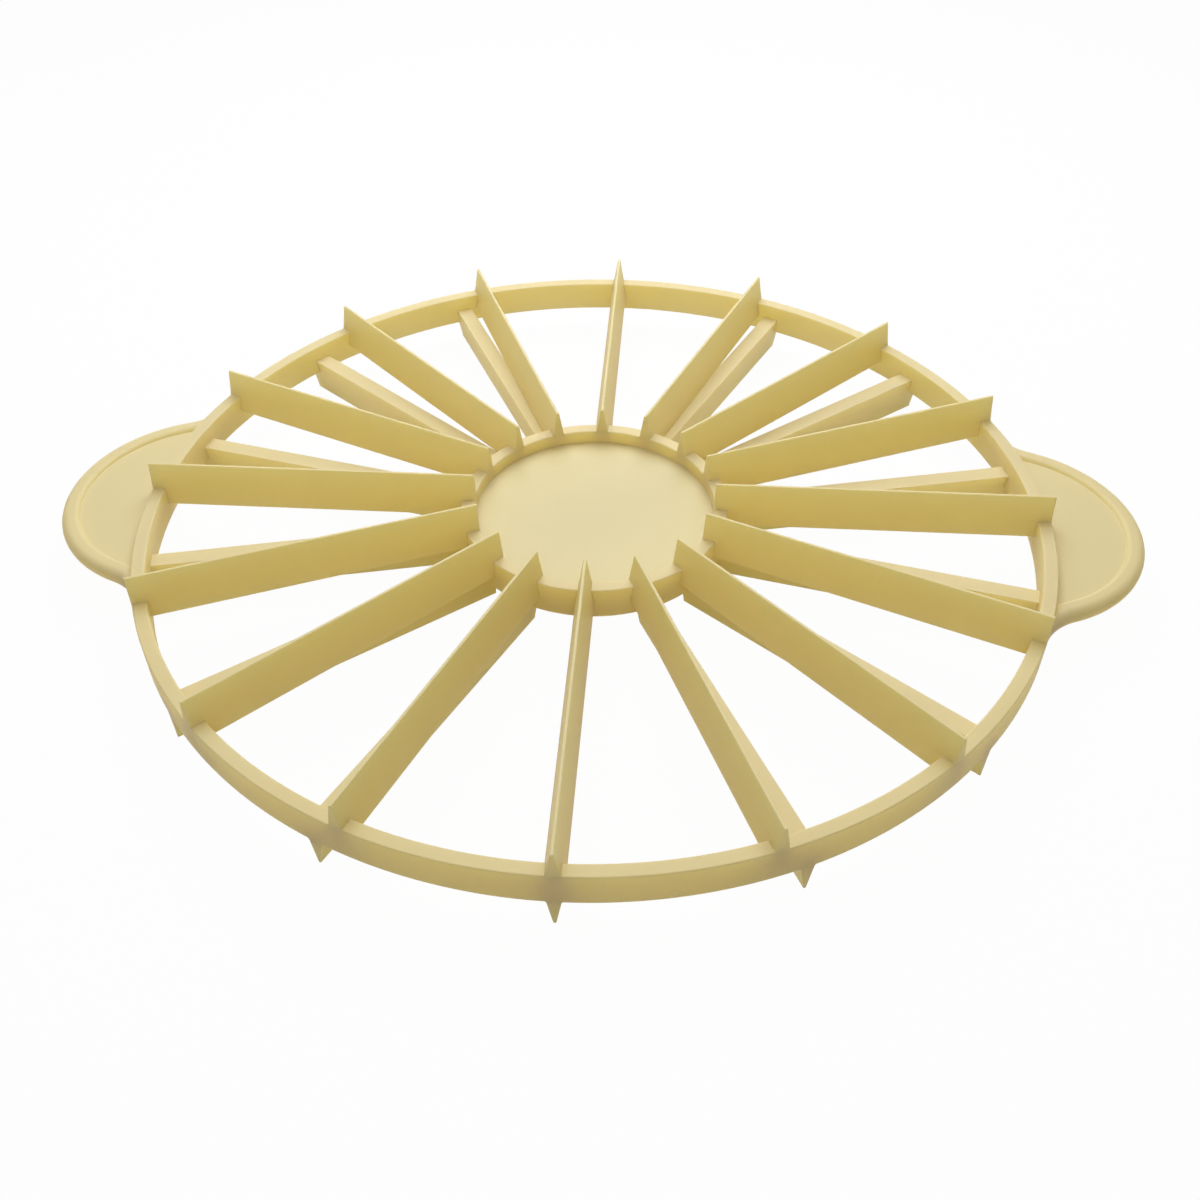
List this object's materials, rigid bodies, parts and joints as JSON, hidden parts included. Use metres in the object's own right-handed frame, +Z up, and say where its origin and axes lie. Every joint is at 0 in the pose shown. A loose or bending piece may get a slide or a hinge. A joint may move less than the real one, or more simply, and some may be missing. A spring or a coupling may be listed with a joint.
{
  "type": "cake portion marker",
  "caption": "Round two-sided marker with wedge blades between a rim ring and a dished hub and two half-moon handles, pressed onto a cake to mark even portions.",
  "frame": {"origin": "on the ground under the centre of the hub, where the edges of the lower blades rest", "axes": "+Z up through the hub towards the 16-portion side, +X along the handles to the right one, +Y to the back along the first blade of both sides"},
  "size_m": [0.325, 0.27, 0.0264],
  "materials": {
    "ivory_plastic": "satin moulded polypropylene, pale ivory"
  },
  "bodies": {
    "root": {"rim_ring": "ivory_plastic", "hub_ring": "ivory_plastic", "hub_floor": "ivory_plastic", "handle_right": "ivory_plastic", "handle_left": "ivory_plastic", "upper_blade_01": "ivory_plastic", "upper_blade_02": "ivory_plastic", "upper_blade_03": "ivory_plastic", "upper_blade_04": "ivory_plastic", "upper_blade_05": "ivory_plastic", "upper_blade_06": "ivory_plastic", "upper_blade_07": "ivory_plastic", "upper_blade_08": "ivory_plastic", "upper_blade_09": "ivory_plastic", "upper_blade_10": "ivory_plastic", "upper_blade_11": "ivory_plastic", "upper_blade_12": "ivory_plastic", "upper_blade_13": "ivory_plastic", "upper_blade_14": "ivory_plastic", "upper_blade_15": "ivory_plastic", "upper_blade_16": "ivory_plastic", "lower_blade_01": "ivory_plastic", "lower_blade_02": "ivory_plastic", "lower_blade_03": "ivory_plastic", "lower_blade_04": "ivory_plastic", "lower_blade_05": "ivory_plastic", "lower_blade_06": "ivory_plastic", "lower_blade_07": "ivory_plastic", "lower_blade_08": "ivory_plastic", "lower_blade_09": "ivory_plastic", "lower_blade_10": "ivory_plastic", "lower_blade_11": "ivory_plastic", "lower_blade_12": "ivory_plastic", "lower_blade_13": "ivory_plastic", "lower_blade_14": "ivory_plastic"}
  },
  "joints": []
}
